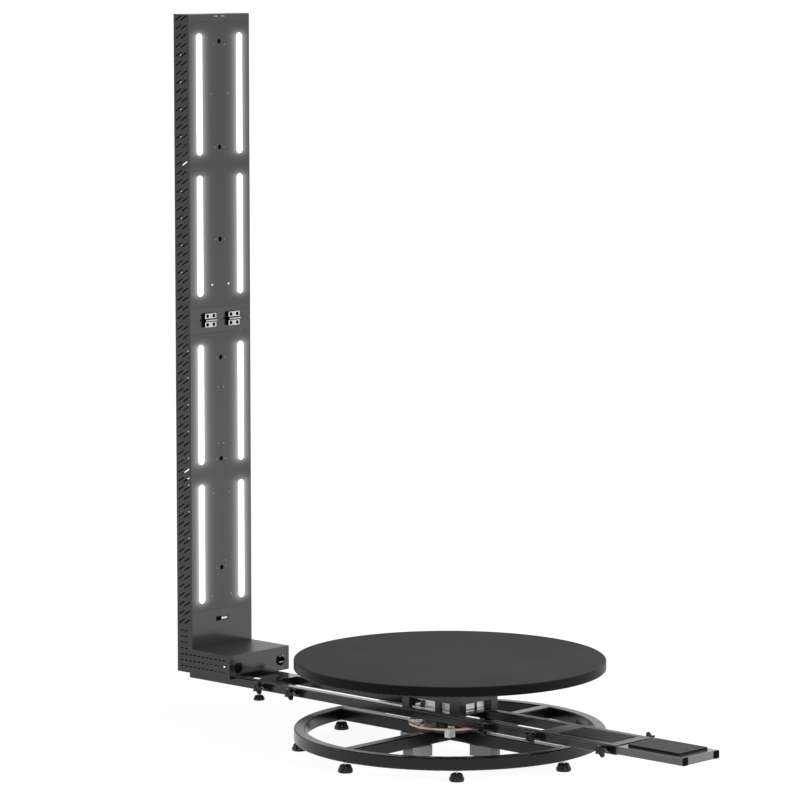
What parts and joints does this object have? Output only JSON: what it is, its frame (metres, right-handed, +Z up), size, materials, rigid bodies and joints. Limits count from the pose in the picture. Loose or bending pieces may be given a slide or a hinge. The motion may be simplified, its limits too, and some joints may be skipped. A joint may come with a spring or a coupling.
{
  "type": "walk-around figure scanner",
  "caption": "Round standing platform on a floor ring, with a turning arm that carries a folding lit camera mast at one end and sliding counterweights at the other, for scanning a person.",
  "frame": {"origin": "on the arm's turning axis at floor level", "axes": "+Z up along the turning axis, mast towards -X, counterweights towards +X"},
  "size_m": [2.145, 1.012, 2.335],
  "materials": {
    "powder_black": "satin black powder coat",
    "panel_black": "fine-textured black powder coat",
    "platform_grey": "board with a matt dark grey laminate",
    "moulded_black": "moulded black plastic",
    "steel": "turned and ground steel",
    "copper": "bare copper",
    "insulator": "cream insulating plastic",
    "zinc": "bright zinc plate",
    "diffuser": "white diffuser, lit from inside",
    "cast_alloy": "plain aluminium",
    "circuit": "green circuit board",
    "weight_steel": "black painted steel plate"
  },
  "bodies": {
    "base": {"base_ring": "powder_black", "cross_beams": "powder_black", "centre_legs": "powder_black", "support_column": "powder_black", "slip_ring": "copper", "slip_ring_blocks": "insulator", "ring_terminal": "cast_alloy", "sun_gear": "steel", "hub_bearings": "steel", "platform": "platform_grey"},
    "arm": {"arm_frame": "powder_black", "hub_cage": "powder_black", "hub_plates": "cast_alloy", "drive_motor": "cast_alloy", "brush_holders": "moulded_black"},
    "drive_pinion": {"drive_pinion": "steel"},
    "mast_section": {"mast_frame": "powder_black", "lower_cheeks": "powder_black", "lower_front_frame": "powder_black", "lower_front_panel": "panel_black", "lower_back_panel": "powder_black", "foot_box_cover": "powder_black", "foot_box_floor": "powder_black", "power_supply": "cast_alloy", "control_board": "circuit", "power_socket": "moulded_black", "lower_light_bars": "diffuser", "lower_cameras": "moulded_black", "lower_hinge_leaves": "zinc"},
    "power_button": {"power_button": "moulded_black"},
    "upper_mast": {"upper_cheeks": "powder_black", "upper_front_frame": "powder_black", "upper_front_panel": "panel_black", "upper_back_panel": "powder_black", "upper_light_bars": "diffuser", "upper_cameras": "moulded_black", "upper_hinge_leaves": "zinc"},
    "weight_section": {"weight_frame": "powder_black", "inner_weight": "weight_steel"},
    "tray": {"tray_frame": "powder_black", "tray_end_caps": "moulded_black", "outer_weight": "weight_steel"},
    "foot_1": {"foot_1": "moulded_black"},
    "foot_2": {"foot_2": "moulded_black"},
    "foot_3": {"foot_3": "moulded_black"},
    "foot_4": {"foot_4": "moulded_black"},
    "foot_5": {"foot_5": "moulded_black"},
    "foot_6": {"foot_6": "moulded_black"},
    "foot_7": {"foot_7": "moulded_black"},
    "foot_8": {"foot_8": "moulded_black"},
    "knob_mast_outer_near": {"knob_mast_outer_near": "moulded_black"},
    "knob_mast_outer_far": {"knob_mast_outer_far": "moulded_black"},
    "knob_mast_inner_near": {"knob_mast_inner_near": "moulded_black"},
    "knob_mast_inner_far": {"knob_mast_inner_far": "moulded_black"},
    "knob_weight_inner_near": {"knob_weight_inner_near": "moulded_black"},
    "knob_weight_outer_near": {"knob_weight_outer_near": "moulded_black"},
    "knob_weight_outer_far": {"knob_weight_outer_far": "moulded_black"},
    "knob_tray_near": {"knob_tray_near": "moulded_black"},
    "knob_tray_far": {"knob_tray_far": "moulded_black"},
    "knob_under_near": {"knob_under_near": "moulded_black"}
  },
  "joints": [
    {"name": "arm_turn", "type": "hinge", "parent": "base", "child": "arm", "pos_m": [0, 0, 0.119], "axis": [0, 0, 1], "continuous": true},
    {"name": "pinion_turn", "type": "hinge", "parent": "arm", "child": "drive_pinion", "pos_m": [0.0672, 0, 0.158], "axis": [0, 0, 1], "continuous": true},
    {"name": "mast_slide", "type": "slide", "parent": "arm", "child": "mast_section", "axis": [-1, 0, 0], "range_m": [0, 0.12]},
    {"name": "mast_fold", "type": "hinge", "parent": "mast_section", "child": "upper_mast", "pos_m": [-1.032, 0, 1.318], "axis": [0, 1, 0], "range_deg": [0, 180]},
    {"name": "button_press", "type": "slide", "parent": "mast_section", "child": "power_button", "axis": [-1, 0, 0], "range_m": [0, 0.003], "stiffness_N_per_m": 600},
    {"name": "weight_slide", "type": "slide", "parent": "arm", "child": "weight_section", "axis": [1, 0, 0], "range_m": [0, 0.12]},
    {"name": "tray_slide", "type": "slide", "parent": "weight_section", "child": "tray", "axis": [1, 0, 0], "range_m": [0, 0.12]},
    {"name": "foot_1_turn", "type": "hinge", "parent": "base", "child": "foot_1", "pos_m": [0.482, 0, 0.03], "axis": [0, 0, 1], "continuous": true},
    {"name": "foot_2_turn", "type": "hinge", "parent": "base", "child": "foot_2", "pos_m": [0.34082, 0.34082, 0.03], "axis": [0, 0, 1], "continuous": true},
    {"name": "foot_3_turn", "type": "hinge", "parent": "base", "child": "foot_3", "pos_m": [0, 0.482, 0.03], "axis": [0, 0, 1], "continuous": true},
    {"name": "foot_4_turn", "type": "hinge", "parent": "base", "child": "foot_4", "pos_m": [-0.34082, 0.34082, 0.03], "axis": [0, 0, 1], "continuous": true},
    {"name": "foot_5_turn", "type": "hinge", "parent": "base", "child": "foot_5", "pos_m": [-0.482, 0, 0.03], "axis": [0, 0, 1], "continuous": true},
    {"name": "foot_6_turn", "type": "hinge", "parent": "base", "child": "foot_6", "pos_m": [-0.34082, -0.34082, 0.03], "axis": [0, 0, 1], "continuous": true},
    {"name": "foot_7_turn", "type": "hinge", "parent": "base", "child": "foot_7", "pos_m": [0, -0.482, 0.03], "axis": [0, 0, 1], "continuous": true},
    {"name": "foot_8_turn", "type": "hinge", "parent": "base", "child": "foot_8", "pos_m": [0.34082, -0.34082, 0.03], "axis": [0, 0, 1], "continuous": true},
    {"name": "knob_mast_outer_near_turn", "type": "hinge", "parent": "arm", "child": "knob_mast_outer_near", "pos_m": [-0.753, -0.09, 0.119], "axis": [0, -1, 0], "range_deg": [0, 360]},
    {"name": "knob_mast_outer_far_turn", "type": "hinge", "parent": "arm", "child": "knob_mast_outer_far", "pos_m": [-0.753, 0.09, 0.119], "axis": [0, 1, 0], "range_deg": [0, 360]},
    {"name": "knob_mast_inner_near_turn", "type": "hinge", "parent": "arm", "child": "knob_mast_inner_near", "pos_m": [-0.606, -0.09, 0.119], "axis": [0, -1, 0], "range_deg": [0, 360]},
    {"name": "knob_mast_inner_far_turn", "type": "hinge", "parent": "arm", "child": "knob_mast_inner_far", "pos_m": [-0.606, 0.09, 0.119], "axis": [0, 1, 0], "range_deg": [0, 360]},
    {"name": "knob_weight_inner_near_turn", "type": "hinge", "parent": "arm", "child": "knob_weight_inner_near", "pos_m": [0.247, -0.09, 0.119], "axis": [0, -1, 0], "range_deg": [0, 360]},
    {"name": "knob_weight_outer_near_turn", "type": "hinge", "parent": "arm", "child": "knob_weight_outer_near", "pos_m": [0.447, -0.09, 0.119], "axis": [0, -1, 0], "range_deg": [0, 360]},
    {"name": "knob_weight_outer_far_turn", "type": "hinge", "parent": "arm", "child": "knob_weight_outer_far", "pos_m": [0.447, 0.09, 0.119], "axis": [0, 1, 0], "range_deg": [0, 360]},
    {"name": "knob_tray_near_turn", "type": "hinge", "parent": "weight_section", "child": "knob_tray_near", "pos_m": [0.733, -0.09, 0.119], "axis": [0, -1, 0], "range_deg": [0, 360]},
    {"name": "knob_tray_far_turn", "type": "hinge", "parent": "weight_section", "child": "knob_tray_far", "pos_m": [0.733, 0.09, 0.119], "axis": [0, 1, 0], "range_deg": [0, 360]},
    {"name": "knob_under_near_turn", "type": "hinge", "parent": "mast_section", "child": "knob_under_near", "pos_m": [-0.791, -0.075, 0.09], "axis": [0, 0, -1], "range_deg": [0, 360]}
  ],
  "couplings": [
    {"joint": "pinion_turn", "follows": "arm_turn", "ratio": 2.5}
  ]
}
